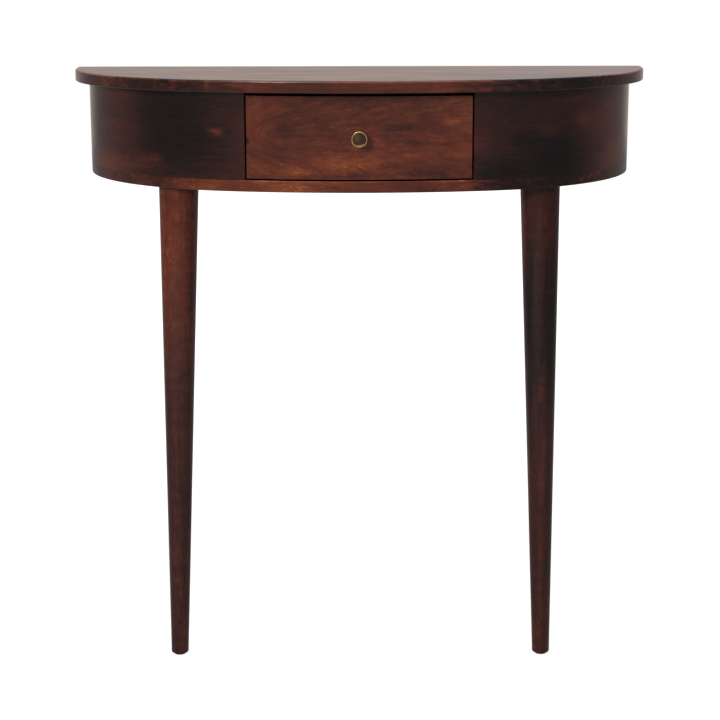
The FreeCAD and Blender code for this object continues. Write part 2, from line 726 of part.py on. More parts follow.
def knob_rim(edge):
    """Pick the outer circles of the head and the inner lip of the rim."""
    circle = hasattr(edge.Curve, "Radius")
    return circle and edge.Curve.Radius > sizes.knob_diameter / 2 - sizes.knob_rim_width * 1.2


round_edges(knob, "knob_rounds", knob_rim, "Sizes.knob_round")
node("drawer_knob", place(aim(knob, TO_ROOM), ("0", "Places.face_y", "Places.knob_z")))

# Knob screw and washer, seated in a shallow round recess
washer_plate = cylinder("washer_plate", ("0", "Places.knob_seat_y", "Places.knob_z"),
                        "Sizes.knob_washer_diameter", "Sizes.knob_washer_thickness", TO_WALL)
shank = cylinder("knob_shank", ("0", "Places.knob_head_y", "Places.knob_z"), "Sizes.knob_screw_diameter",
                 "Places.knob_head_y - Places.face_y + Sizes.knob_thread_depth", TO_ROOM)
head = cylinder("knob_screw_head", ("0", "Places.knob_head_y", "Places.knob_z"),
                "Sizes.knob_screw_head_diameter", "Sizes.knob_screw_head_thickness", TO_WALL)
slot_half = "Sizes.knob_screw_slot_width / 2"
slot_reach = "Sizes.knob_screw_head_diameter / 2"
head_end = "Places.knob_head_y + Sizes.knob_screw_head_thickness"
head_slot = box("head_slot", ("-" + slot_reach, head_end + " - Sizes.knob_screw_slot_depth",
                              "Places.knob_z - " + slot_half),
                (slot_reach, head_end, "Places.knob_z + " + slot_half))
node("knob_screw", cut(fuse("knob_bolt", shank, head), head_slot))
node("knob_washer", cut(washer_plate, shank))

doc.recompute()

# Check every object and write one file per sub-part
for item in doc.Objects:
    bad = [state for state in item.State if state in ("Invalid", "Error")]
    if bad:
        raise RuntimeError("%s is %s" % (item.Label, bad))
for name, item in nodes.items():
    shape = item.Shape
    if shape.isNull() or not shape.isValid() or not shape.Solids:
        raise RuntimeError("%s has no sound solid" % name)
    shape.exportStep(os.path.join("parts", name + ".step"))
    print(name, len(shape.Solids), round(shape.Volume))
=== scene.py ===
import math

import bpy
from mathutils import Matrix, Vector


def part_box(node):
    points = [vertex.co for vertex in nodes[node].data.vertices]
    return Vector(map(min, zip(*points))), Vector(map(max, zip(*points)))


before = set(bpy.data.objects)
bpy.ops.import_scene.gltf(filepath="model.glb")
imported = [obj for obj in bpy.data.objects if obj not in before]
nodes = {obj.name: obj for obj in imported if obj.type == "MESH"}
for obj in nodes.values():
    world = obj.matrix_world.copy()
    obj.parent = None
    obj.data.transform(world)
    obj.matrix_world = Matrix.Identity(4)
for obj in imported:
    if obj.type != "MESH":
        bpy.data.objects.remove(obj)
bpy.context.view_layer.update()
MM = 0.001


def shade(hex_colour):
    """sRGB hex colour as linear red, green and blue with full opacity."""
    parts = [int(hex_colour[place:place + 2], 16) / 255 for place in (1, 3, 5)]
    return [part / 12.92 if part <= 0.04045 else ((part + 0.055) / 1.055) ** 2.4 for part in parts] + [1.0]


def add(tree, kind, settings=None, sockets=None, stops=None):
    """Add a node with its settings, socket values, links and colour stops, and give its outputs."""
    made = tree.nodes.new(kind)
    for name, value in (settings or {}).items():
        setattr(made, name, value)
    for name, value in (sockets or {}).items():
        if isinstance(value, bpy.types.NodeSocket):
            tree.links.new(value, made.inputs[name])
        else:
            made.inputs[name].default_value = value
    for count, (place, colour) in enumerate(stops or ()):
        ramp = made.color_ramp.elements
        stop = ramp[count] if count < 2 else ramp.new(place)
        stop.position = place
        stop.color = shade(colour)
    return made.outputs


def new_finish(name):
    """Empty material, its node tree and its surface shader."""
    finish = bpy.data.materials.new(name)
    finish.use_nodes = True
    return finish, finish.node_tree, finish.node_tree.nodes["Principled BSDF"]


def give(piece, finish):
    """Put a finish on a piece of the table."""
    nodes[piece].material_slots[0].material = finish


# Mango wood: how the boards of this table are cut and how their grain runs
LEVEL_BOARD = "XYZ"
UPRIGHT_BOARD = "XZY"
DEPTH_BOARD = "YZX"
TURNED_UPRIGHT = "ZXY"
LEFT = -1
RIGHT = 1
END_CENTRE_X = 94.97 * MM
END_CENTRE_Y = 144 * MM
APRON_END_RADIUS = 264.5 * MM
ARCH_SPREAD = 60 * MM
ARCH_DEPTH = 0.25
SWAY_LENGTH = 120 * MM
SWAY_WIDTH = 60 * MM
# Most of a noise lies between these two values
NOISE_LOW = 0.28
NOISE_HIGH = 0.72


def grain_of_board(tree, order):
    """Place in a sawn board: along the grain, across it and through it, as the named axes."""
    place = add(tree, "ShaderNodeTexCoord")["Object"]
    axes = add(tree, "ShaderNodeSeparateXYZ", sockets={0: place})
    return add(tree, "ShaderNodeCombineXYZ", sockets={count: axes[axis] for count, axis in enumerate(order)})[0]


def grain_of_bent_panel(tree, side):
    """Place in a bent apron panel: along its curve, up it and through it."""
    place = add(tree, "ShaderNodeTexCoord")["Object"]
    centre = (side * END_CENTRE_X, END_CENTRE_Y, 0)
    from_centre = add(tree, "ShaderNodeVectorMath", {"operation": "SUBTRACT"}, {0: place, 1: centre})[0]
    axes = add(tree, "ShaderNodeSeparateXYZ", sockets={0: from_centre})
    to_room = add(tree, "ShaderNodeMath", {"operation": "MULTIPLY"}, {0: axes["Y"], 1: -1.0})[0]
    turn = add(tree, "ShaderNodeMath", {"operation": "ARCTAN2"}, {0: axes["X"], 1: to_room})[0]
    along = add(tree, "ShaderNodeMath", {"operation": "MULTIPLY"}, {0: turn, 1: APRON_END_RADIUS})[0]
    level = add(tree, "ShaderNodeCombineXYZ", sockets={0: axes["X"], 1: axes["Y"]})[0]
    through = add(tree, "ShaderNodeVectorMath", {"operation": "LENGTH"}, {0: level})["Value"]
    return add(tree, "ShaderNodeCombineXYZ", sockets={0: along, 1: axes["Z"], 2: through})[0]


def arched(tree, board, tip_mm, steepness, rise):
    """Flat-sawn grain: lines that arch round a tip and open along the board, with a rise in their middle line."""
    tip = (tip_mm[0] * MM, tip_mm[1] * MM, 0)
    away = add(tree, "ShaderNodeVectorMath", {"operation": "SUBTRACT"}, {0: board, 1: tip})[0]
    along = add(tree, "ShaderNodeVectorMath", {"operation": "DOT_PRODUCT"}, {0: away, 1: (1, 0, 0)})["Value"]
    aside = add(tree, "ShaderNodeVectorMath", {"operation": "DOT_PRODUCT"}, {0: away, 1: (-rise, 1, 0)})["Value"]
    steep = add(tree, "ShaderNodeMath", {"operation": "MULTIPLY"}, {0: aside, 1: steepness})[0]
    drawn = add(tree, "ShaderNodeCombineXYZ", sockets={0: along, 1: steep})[0]
    reach = add(tree, "ShaderNodeVectorMath", {"operation": "LENGTH"}, {0: drawn})["Value"]
    line = add(tree, "ShaderNodeMath", {"operation": "SUBTRACT"}, {0: reach, 1: along})[0]
    spread = add(tree, "ShaderNodeMath", {"operation": "MULTIPLY"}, {0: line, 1: ARCH_SPREAD})[0]
    across = add(tree, "ShaderNodeMath", {"operation": "SQRT"}, {0: spread})[0]
    side = add(tree, "ShaderNodeMath", {"operation": "MULTIPLY"}, {0: aside, 1: ARCH_DEPTH})[0]
    return add(tree, "ShaderNodeCombineXYZ", sockets={0: along, 1: across, 2: side})[0]


def figure(tree, grain, cell_mm, shift, detail=2.0):
    """Uneven figure from -1 to 1, in cells of a real length along the grain and width across it."""
    length, width = (size * MM for size in cell_mm)
    cells = add(tree, "ShaderNodeVectorMath", {"operation": "MULTIPLY_ADD"}, {
        0: grain, 1: (1 / length, 1 / width, 1 / width), 2: (shift, shift * 1.7, shift * 2.3)})[0]
    noise = add(tree, "ShaderNodeTexNoise", sockets={"Vector": cells, "Scale": 1.0, "Detail": detail})["Fac"]
    return add(tree, "ShaderNodeMapRange", sockets={
        "Value": noise, "From Min": NOISE_LOW, "From Max": NOISE_HIGH, "To Min": -1.0, "To Max": 1.0})[0]


def wandering(tree, grain, amount_mm, shift):
    """Grain that wanders from side to side along the board."""
    per_cell = (1 / SWAY_LENGTH, 1 / SWAY_WIDTH, 1 / SWAY_WIDTH)
    cells = add(tree, "ShaderNodeVectorMath", {"operation": "MULTIPLY_ADD"},
                {0: grain, 1: per_cell, 2: (shift, shift, shift)})[0]
    noise = add(tree, "ShaderNodeTexNoise", sockets={"Vector": cells, "Scale": 1.0, "Detail": 2.0})["Color"]
    sway = add(tree, "ShaderNodeVectorMath", {"operation": "SUBTRACT"}, {0: noise, 1: (0.5, 0.5, 0.5)})[0]
    reach = (0, 2 * amount_mm * MM, 2 * amount_mm * MM)
    return add(tree, "ShaderNodeVectorMath", {"operation": "MULTIPLY_ADD"}, {0: sway, 1: reach, 2: grain})[0]


# Marks on the wood: how a patch fades outside and inside its reach, how far the end of a run of pale edge
# fades, the least that an edge is paled by wear and painted highlight, and how far a leg's side has to face
# left or right to take its painted highlight
SOFT = 1.0
HALF_SOFT = 0.55
CRISP = 0.3
FADE_OUTSIDE = 0.3
FADE_INSIDE = 0.9
RUN_FADE_MM = 8
LEAST_RUB_AND_HIGHLIGHT = 0.2
SIDE_HIGHLIGHT_FROM = 0.8
SIDE_HIGHLIGHT_FULL = 0.98


def patch(tree, board, streaks, feather, spot_mm, size_mm, softness):
    """Patch with a ragged edge where a surface took its colour otherwise, from 0 to 1."""
    per_size = [1 / (size * MM) for size in size_mm] + [0.0]
    spot = [-place / size for place, size in zip(spot_mm, size_mm)] + [0.0]
    away = add(tree, "ShaderNodeVectorMath", {"operation": "MULTIPLY_ADD"}, {0: board, 1: per_size, 2: spot})[0]
    reach = add(tree, "ShaderNodeVectorMath", {"operation": "LENGTH"}, {0: away})["Value"]
    uneven = add(tree, "ShaderNodeMath", {"operation": "MULTIPLY_ADD"}, {0: streaks, 1: feather, 2: reach})[0]
    return add(tree, "ShaderNodeMapRange", {"interpolation_type": "SMOOTHSTEP"}, {
        "Value": uneven, "From Min": 1 + FADE_OUTSIDE * softness, "From Max": 1 - FADE_INSIDE * softness})[0]


def worn_and_highlit_edges(tree, piece, axes, wear_and_highlight_mm, span_mm, ragged):
    """Upper edges and ends of a piece made pale, from 0 to 1: partly wear, partly a painted highlight where light
    from above catches the arrises.
    """
    low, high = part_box(piece)
    place = add(tree, "ShaderNodeSeparateXYZ", sockets={0: add(tree, "ShaderNodeTexCoord")["Object"]})
    normal = add(tree, "ShaderNodeSeparateXYZ", sockets={0: add(tree, "ShaderNodeNewGeometry")["Normal"]})
    worn_and_highlit = 0.0
    for axis in axes:
        number = "XYZ".index(axis)
        middle = (low[number] + high[number]) / 2
        half = (high[number] - low[number]) / 2
        out = add(tree, "ShaderNodeMath", {"operation": "SUBTRACT"}, {0: place[axis], 1: middle})[0]
        if axis != "Z":
            out = add(tree, "ShaderNodeMath", {"operation": "ABSOLUTE"}, {0: out})[0]
        near = add(tree, "ShaderNodeMapRange", sockets={
            "Value": out, "From Min": half - wear_and_highlight_mm * MM, "From Max": half})[0]
        facing = add(tree, "ShaderNodeMath", {"operation": "MULTIPLY"}, {0: normal[axis], 1: normal[axis]})[0]
        aside = add(tree, "ShaderNodeMath", {"operation": "SUBTRACT"}, {0: 1.0, 1: facing})[0]
        edge = add(tree, "ShaderNodeMath", {"operation": "MULTIPLY"}, {0: near, 1: aside})[0]
        worn_and_highlit = add(tree, "ShaderNodeMath", {"operation": "MAXIMUM"}, {0: worn_and_highlit, 1: edge})[0]
    if span_mm:
        out = add(tree, "ShaderNodeMath", {"operation": "ABSOLUTE"}, {0: place["X"]})[0]
        within = add(tree, "ShaderNodeMapRange", sockets={
            "Value": out, "From Min": (span_mm + RUN_FADE_MM) * MM, "From Max": (span_mm - RUN_FADE_MM) * MM})[0]
        worn_and_highlit = add(tree, "ShaderNodeMath", {"operation": "MULTIPLY"}, {0: worn_and_highlit, 1: within})[0]
    rub_and_highlight = add(tree, "ShaderNodeMapRange", sockets={
        "Value": ragged, "From Min": -1.0, "From Max": 0.5, "To Min": LEAST_RUB_AND_HIGHLIGHT})[0]
    return add(tree, "ShaderNodeMath", {"operation": "MULTIPLY"}, {0: worn_and_highlit, 1: rub_and_highlight})[0]


def painted_side_highlight(tree):
    """Painted highlight on the left and right sides of a leg, made paler where side light would catch them, from 0
    to 1.
    """
    normal = add(tree, "ShaderNodeSeparateXYZ", sockets={0: add(tree, "ShaderNodeNewGeometry")["Normal"]})
    sideways = add(tree, "ShaderNodeMath", {"operation": "ABSOLUTE"}, {0: normal["X"]})[0]
    return add(tree, "ShaderNodeMapRange", {"interpolation_type": "SMOOTHSTEP"}, {
        "Value": sideways, "From Min": SIDE_HIGHLIGHT_FROM, "From Max": SIDE_HIGHLIGHT_FULL})[0]


# Chestnut-stained mango under smooth lacquer: nearly black where the wood drank the stain, red-brown in
# between and orange where it stayed pale, with short bright flecks and a grey sheen at low angles.
CHESTNUT_STAIN = (
    (0.0, "#070605"), (0.2, "#1c0f0e"), (0.4, "#361914"), (0.6, "#57281b"),
    (0.75, "#6e3720"), (0.9, "#8c4f28"), (1.0, "#b07242"),
)
# Plain mango, planed and oiled: honey brown with darker streaks.
PLAIN_MANGO = (
    (0.0, "#5b3f28"), (0.3, "#8d6742"), (0.55, "#b08658"), (0.8, "#c9a272"), (1.0, "#dcbb8d"),
)
WOOD_IOR = 1.5
# Length along the grain and width across it of what shows in mango, in mm. Real pores are about 0.2 mm
# wide, drawn at 0.9 mm so that they show.
CLOUD_MM = (110, 40)
STREAK_MM = (90, 5)
MOTTLE_MM = (16, 6)
PORE_MM = (14, 0.9)
FLECK_MM = (7, 1.8)
CURL_MM = (9, 26)
PORE_TONE = 0.04
PORE_DEPTH = 0.08 * MM
PORE_BUMP = 0.08
GLOSS_RANGE = 0.03


def mango(piece, stain, cut, tone, shift=0.0, sway=8, cloud=0.08, streak=0.06, fleck=0.08, mottling=0.04,
          curl=0.0, arch=None, patches=(), feather=0.15, worn_and_highlit="XYZ", wear_and_highlight_mm=1.2, wear_and_highlight=0.12, wear_and_highlight_span_mm=None,
          dulled=0.0, rub_and_highlight=0.0, gloss=0.17, sheen=0.34):
    """Mango wood of one piece, from its cut, its tone between dark and pale, and the marks on its faces."""
    finish, tree, surface = new_finish("mango_" + piece)
    board = grain_of_bent_panel(tree, cut) if isinstance(cut, int) else grain_of_board(tree, cut)
    lines = arched(tree, board, *arch) if arch else board
    grain = wandering(tree, lines, sway, shift)
    clouds = figure(tree, grain, CLOUD_MM, shift + 3.1)
    streaks = figure(tree, grain, STREAK_MM, shift + 7.7, 3.0)
    pores = figure(tree, grain, PORE_MM, shift + 11.3, 1.0)
    flecks = figure(tree, grain, FLECK_MM, shift + 5.9, 1.0)
    mottle = figure(tree, grain, MOTTLE_MM, shift + 13.9)
    bright = add(tree, "ShaderNodeMapRange", sockets={"Value": flecks, "From Min": 0.2})[0]
    clumps = add(tree, "ShaderNodeMapRange", sockets={
        "Value": clouds, "From Min": -0.6, "From Max": 0.8, "To Min": 0.2, "To Max": 1.3})[0]
    clumped = add(tree, "ShaderNodeMath", {"operation": "MULTIPLY"}, {0: bright, 1: clumps})[0]
    rough = add(tree, "ShaderNodeMapRange", sockets={
        "Value": clouds, "From Min": -1.0, "To Min": gloss + GLOSS_RANGE, "To Max": gloss - GLOSS_RANGE})[0]
    marks = [(clouds, cloud), (streaks, streak), (mottle, mottling), (pores, PORE_TONE), (clumped, fleck)]
    if worn_and_highlit:
        # edges paled partly by wear and partly by a painted highlight
        edges = worn_and_highlit_edges(tree, piece, worn_and_highlit, wear_and_highlight_mm, wear_and_highlight_span_mm, streaks)
        marks.append((edges, wear_and_highlight))
        if dulled:
            rough = add(tree, "ShaderNodeMath", {"operation": "MULTIPLY_ADD"}, {0: edges, 1: dulled, 2: rough})[0]
    # painted highlight on the left and right sides of the legs
    if rub_and_highlight:
        marks.append((painted_side_highlight(tree), rub_and_highlight))
    if curl:
        marks.append((figure(tree, grain, CURL_MM, shift + 17.2), curl))
    for spot, size, strength, softness in patches:
        marks.append((patch(tree, board, streaks, feather, spot, size, softness), strength))
    level = tone
    for mark, weight in marks:
        level = add(tree, "ShaderNodeMath", {"operation": "MULTIPLY_ADD"}, {0: mark, 1: weight, 2: level})[0]
    colour = add(tree, "ShaderNodeValToRGB", {}, {"Fac": level}, stain)["Color"]
    tree.links.new(colour, surface.inputs["Base Color"])
    tree.links.new(rough, surface.inputs["Roughness"])
    surface.inputs["IOR"].default_value = WOOD_IOR
    surface.inputs["Specular IOR Level"].default_value = sheen
    bump = add(tree, "ShaderNodeBump", {}, {"Strength": PORE_BUMP, "Distance": PORE_DEPTH, "Height": pores})[0]
    tree.links.new(bump, surface.inputs["Normal"])
    return finish


# Tones and marks of the stained pieces; a patch has its place and reach in mm along and across the grain,
# how much paler or darker it is, and how soft
stained_pieces = {
    "table_top": dict(
        # paled upper front arris: partly wear, partly a painted highlight along it
        cut=LEVEL_BOARD, tone=0.49, shift=1.3, worn_and_highlit="Z", wear_and_highlight_mm=3.2, wear_and_highlight=0.4, dulled=0.12, gloss=0.2,
        feather=0.4,
        patches=(((166, 114), (46, 30), 0.25, SOFT), ((-183, -124), (5, 25), 0.16, SOFT),
                 ((-265, -80), (75, 90), -0.2, SOFT), ((-195, -120), (55, 30), -0.16, SOFT),
                 ((245, -80), (120, 90), -0.32, SOFT), ((195, -118), (50, 30), -0.08, SOFT))),
    "bottom_board": dict(
        # paled upper arris under the drawer: a painted highlight, with a little wear
        cut=LEVEL_BOARD, tone=0.6, shift=4.9, cloud=0.13, fleck=0.14, worn_and_highlit="Z", wear_and_highlight=0.4, wear_and_highlight_span_mm=138,
        dulled=0.7,
        patches=(((-331, -20), (60, 140), -0.1, CRISP), ((216, -60), (86, 220), -0.47, HALF_SOFT),
                 ((325, 0), (75, 140), -0.12, SOFT), ((-232, -80), (40, 60), -0.15, SOFT),
                 ((-172, -110), (26, 30), 0.03, SOFT), ((-108, -125), (50, 50), 0.1, SOFT))),
    "left_apron_panel": dict(
        cut=LEFT, tone=0.41, shift=9.2, cloud=0.05, streak=0.02, fleck=0.04, feather=0.05, worn_and_highlit="",
        patches=(((-145, 700), (75, 80), -0.32, SOFT), ((-187, 655), (34, 14), 0.09, SOFT),
                 ((-167, 661), (14, 8), 0.14, SOFT), ((-85, 698), (8, 4), 0.2, SOFT),
                 ((-77, 696), (7, 5), 0.2, SOFT), ((-82, 697), (15, 7), 0.12, SOFT),
                 ((-75, 690), (60, 80), -0.08, SOFT), ((-46, 700), (16, 22), 0.06, SOFT),
                 ((-60, 733), (30, 16), -0.1, SOFT), ((-270, 648), (60, 22), 0.16, SOFT),
                 ((-70, 662), (34, 16), -0.06, SOFT))),
    "right_apron_panel": dict(
        cut=RIGHT, tone=0.305, shift=15.6, cloud=0.05, streak=0.02, fleck=0.04, feather=0.05, worn_and_highlit="",
        patches=(((160, 655), (74, 50), -0.26, SOFT), ((155, 722), (34, 12), 0.04, SOFT),
                 ((285, 690), (100, 90), 0.31, SOFT), ((44, 684), (26, 22), 0.16, SOFT),
                 ((80, 646), (40, 16), -0.22, SOFT), ((182, 733), (44, 8), 0.14, SOFT),
                 ((146, 695), (22, 9), 0.13, SOFT), ((112, 690), (26, 22), -0.1, SOFT),
                 ((205, 706), (22, 14), 0.1, SOFT), ((242, 676), (26, 22), -0.08, SOFT),
                 ((300, 652), (60, 26), 0.1, SOFT))),
    "drawer_front": dict(
        cut=UPRIGHT_BOARD, tone=0.53, shift=21.4, sway=9, cloud=0.07, streak=0.05, fleck=0.13, mottling=0.07,
        dulled=1.5, arch=((-112, 697), 2.2, 0.09),
        patches=(((-76, 650), (24, 9), 0.15, SOFT), ((-12, 660), (60, 11), 0.14, SOFT),
                 ((64, 669), (76, 11), 0.1, SOFT), ((-118, 651), (20, 8), 0.1, SOFT),
                 ((112, 710), (14, 6), 0.22, SOFT), ((-138, 686), (5, 5), -0.32, HALF_SOFT),
                 ((-126, 706), (28, 44), 0.11, SOFT), ((-2, 728), (20, 10), -0.1, SOFT),
                 ((62, 703), (36, 6), -0.1, SOFT), ((115, 727), (26, 12), 0.06, SOFT),
                 ((85, 648), (50, 4), -0.12, SOFT), ((-90, 700), (14, 12), -0.08, SOFT),
                 ((110, 690), (50, 50), 0.04, SOFT), ((-56, 704), (48, 26), -0.07, SOFT),
                 ((-94, 724), (24, 8), 0.08, SOFT), ((-20, 684), (16, 9), -0.12, SOFT),
                 # painted shadow: the first patch on this line darkens a band along the top edge of the drawer
                 # front, under the overhang of the top
                 ((12, 738), (84, 8), -0.14, SOFT), ((-30, 644), (60, 4), -0.12, SOFT),
                 ((130, 674), (24, 14), 0.12, SOFT), ((132, 708), (16, 22), 0.1, SOFT),
                 ((-132, 671), (14, 8), -0.1, SOFT), ((-64, 668), (40, 8), 0.06, SOFT))),
    "left_leg": dict(
        cut=TURNED_UPRIGHT, tone=0.38, shift=27.7, cloud=0.05, streak=0.06, fleck=0.12, curl=0.05, worn_and_highlit="",
        # painted highlight: the leg's left and right sides made paler
        rub_and_highlight=0.1, sheen=0.26,
        patches=(((610, -232), (240, 60), 0.23, SOFT), ((510, -203), (190, 14), -0.1, CRISP),
                 ((190, -238), (230, 6), 0.09, SOFT), ((60, -238), (150, 40), -0.05, SOFT))),
    "right_leg": dict(
        cut=TURNED_UPRIGHT, tone=0.36, shift=33.8, cloud=0.05, streak=0.05, fleck=0.1, curl=0.04, worn_and_highlit="",
        # painted highlight: the leg's left and right sides made paler
        rub_and_highlight=0.16, sheen=0.26,
        patches=(((440, 227), (130, 60), -0.19, SOFT), ((365, 231), (24, 5), 0.2, SOFT),
                 ((590, 227), (60, 40), 0.08, SOFT), ((500, 226), (120, 7), 0.12, SOFT),
                 ((210, 235), (220, 6), 0.12, SOFT))),
}
for piece, wood in stained_pieces.items():
    give(piece, mango(piece, CHESTNUT_STAIN, **wood))

plain_pieces = {
    "back_rail": UPRIGHT_BOARD, "left_divider": DEPTH_BOARD, "right_divider": DEPTH_BOARD,
    "left_runner": DEPTH_BOARD, "right_runner": DEPTH_BOARD, "drawer_stops": UPRIGHT_BOARD,
    "left_top_cleat": DEPTH_BOARD, "right_top_cleat": DEPTH_BOARD, "left_corner_block": TURNED_UPRIGHT,
    "right_corner_block": TURNED_UPRIGHT, "left_leg_block": LEVEL_BOARD, "right_leg_block": LEVEL_BOARD,
    "panel_dowels": TURNED_UPRIGHT, "drawer_left_side": DEPTH_BOARD, "drawer_right_side": DEPTH_BOARD,
    "drawer_back": UPRIGHT_BOARD,
}
for count, (piece, cut) in enumerate(plain_pieces.items()):
    give(piece, mango(piece, PLAIN_MANGO, cut, tone=0.5, shift=2.9 * count, gloss=0.55))

# Turned brass, lacquered and aged: a warm bright rim and a browned dish that mirrors the dim room, with a
# painted highlight that makes the dish a little paler on its upper left. Tool rings are about 0.1 mm apart,
# drawn at 0.5 mm so that they show.
KNOB_HEIGHT = 690.7 * MM
KNOB_RIM_INSIDE = 9.0 * MM
KNOB_DISH_EDGE = 8.2 * MM
KNOB_LIP_ROUND = 1.0 * MM
TOOL_RING = 0.5 * MM
BRASS_SPOT = 2.5 * MM
BRASS_RAGGED = 0.6 * MM
DISH_HIGHLIGHT_SPOT_MM = (-4.5, 694)
DISH_HIGHLIGHT_REACH_MM = (7, 9)


def turned_brass():
    """Brass with rings left by the turning tool and a browned dish."""
    finish, tree, surface = new_finish("aged_turned_brass")
    place = add(tree, "ShaderNodeTexCoord")["Object"]
    from_axis = add(tree, "ShaderNodeVectorMath", {"operation": "MULTIPLY_ADD"},
                    {0: place, 1: (1, 0, 1), 2: (0, 0, -KNOB_HEIGHT)})[0]
    radius = add(tree, "ShaderNodeVectorMath", {"operation": "LENGTH"}, {0: from_axis})["Value"]
    spots = add(tree, "ShaderNodeTexNoise", sockets={"Vector": place, "Scale": 1 / BRASS_SPOT, "Detail": 3.0})["Fac"]
    uneven = add(tree, "ShaderNodeMath", {"operation": "MULTIPLY_ADD"}, {0: spots, 1: BRASS_RAGGED, 2: radius})[0]
    browned = add(tree, "ShaderNodeMapRange", {"interpolation_type": "SMOOTHSTEP"}, {
        "Value": uneven, "From Min": KNOB_RIM_INSIDE, "From Max": KNOB_DISH_EDGE})[0]
    # painted highlight: the upper left of the dish made paler, towards the key light
    dish_highlight = patch(tree, grain_of_board(tree, UPRIGHT_BOARD), spots, 0.2, DISH_HIGHLIGHT_SPOT_MM, DISH_HIGHLIGHT_REACH_MM, SOFT)
    patina_and_highlight = add(tree, "ShaderNodeMath", {"operation": "MULTIPLY_ADD"}, {0: dish_highlight, 1: -0.22, 2: browned})[0]
    colour = add(tree, "ShaderNodeValToRGB", {}, {"Fac": patina_and_highlight},
                 ((0.0, "#dcbb80"), (0.6, "#866e48"), (1.0, "#584636")))["Color"]
    tree.links.new(colour, surface.inputs["Base Color"])
    rough = add(tree, "ShaderNodeMapRange", sockets={"Value": browned, "To Min": 0.28, "To Max": 0.36})[0]
    tree.links.new(rough, surface.inputs["Roughness"])
    surface.inputs["Metallic"].default_value = 1.0
    rings = add(tree, "ShaderNodeMath", {"operation": "MULTIPLY"}, {0: radius, 1: math.tau / TOOL_RING})[0]
    wave = add(tree, "ShaderNodeMath", {"operation": "SINE"}, {0: rings})[0]
    lip = add(tree, "ShaderNodeBevel", {"samples": 8}, {"Radius": KNOB_LIP_ROUND})[0]
    bump = add(tree, "ShaderNodeBump", {}, {
        "Strength": 0.06, "Distance": 0.02 * MM, "Height": wave, "Normal": lip})[0]
    tree.links.new(bump, surface.inputs["Normal"])
    return finish


give("drawer_knob", turned_brass())

# Zinc-plated steel, passivated: cool grey with a faint spangle and a blue to yellow tint.
ZINC_SPANGLE = 1.8 * MM


def zinc_plated_steel():
    """Zinc-plated steel of the screws, studs, nuts, washer and pins."""
    finish, tree, surface = new_finish("zinc_plated_steel")
    place = add(tree, "ShaderNodeTexCoord")["Object"]
    spangle = add(tree, "ShaderNodeTexNoise", sockets={
        "Vector": place, "Scale": 1 / ZINC_SPANGLE, "Detail": 3.0})["Fac"]
    colour = add(tree, "ShaderNodeValToRGB", {}, {"Fac": spangle},
                 ((0.25, "#8e959c"), (0.5, "#b4b8ba"), (0.75, "#c4bfae")))["Color"]
    tree.links.new(colour, surface.inputs["Base Color"])
    rough = add(tree, "ShaderNodeMapRange", sockets={
        "Value": spangle, "From Min": 0.3, "From Max": 0.7, "To Min": 0.28, "To Max": 0.45})[0]
    tree.links.new(rough, surface.inputs["Roughness"])
    surface.inputs["Metallic"].default_value = 1.0
    bump = add(tree, "ShaderNodeBump", {}, {"Strength": 0.2, "Distance": 0.03 * MM, "Height": spangle})[0]
    tree.links.new(bump, surface.inputs["Normal"])
    return finish


steel = zinc_plated_steel()
for piece in ("hanger_bolts", "insert_nuts", "carcass_screws", "cleat_screws", "runner_screws", "knob_screw",
              "knob_washer", "drawer_pins"):
    give(piece, steel)

# Brown moulded nylon: dull, with the fine spark-eroded texture of its mould and paler scuffs.
NYLON_GRIT = 0.6 * MM
NYLON_SCUFF = 4 * MM
NYLON_IOR = 1.53


def moulded_nylon():
    """Nylon of the glides under the feet."""
    finish, tree, surface = new_finish("moulded_nylon")
    place = add(tree, "ShaderNodeTexCoord")["Object"]
    grit = add(tree, "ShaderNodeTexNoise", sockets={"Vector": place, "Scale": 1 / NYLON_GRIT, "Detail": 2.0})["Fac"]
    scuffs = add(tree, "ShaderNodeTexNoise", sockets={
        "Vector": place, "Scale": 1 / NYLON_SCUFF, "Detail": 4.0})["Fac"]
    colour = add(tree, "ShaderNodeValToRGB", {}, {"Fac": scuffs},
                 ((0.35, "#2c2320"), (0.55, "#3a2f2a"), (0.75, "#5a4d45")))["Color"]
    tree.links.new(colour, surface.inputs["Base Color"])
    rough = add(tree, "ShaderNodeMapRange", sockets={
        "Value": scuffs, "From Min": 0.3, "From Max": 0.7, "To Min": 0.45, "To Max": 0.65})[0]
    tree.links.new(rough, surface.inputs["Roughness"])
    surface.inputs["IOR"].default_value = NYLON_IOR
    bump = add(tree, "ShaderNodeBump", {}, {"Strength": 0.2, "Distance": 0.05 * MM, "Height": grit})[0]
    tree.links.new(bump, surface.inputs["Normal"])
    return finish


give("foot_glides", moulded_nylon())

# Birch plywood: pale rotary-cut veneer with a flame figure, and glued plies along its edges. Real pores are
# about 0.1 mm wide, drawn at 0.8 mm so that they show.
VENEER_FLAME_MM = (120, 16)
VENEER_PORE_MM = (9, 0.8)
PLY = 1 * MM


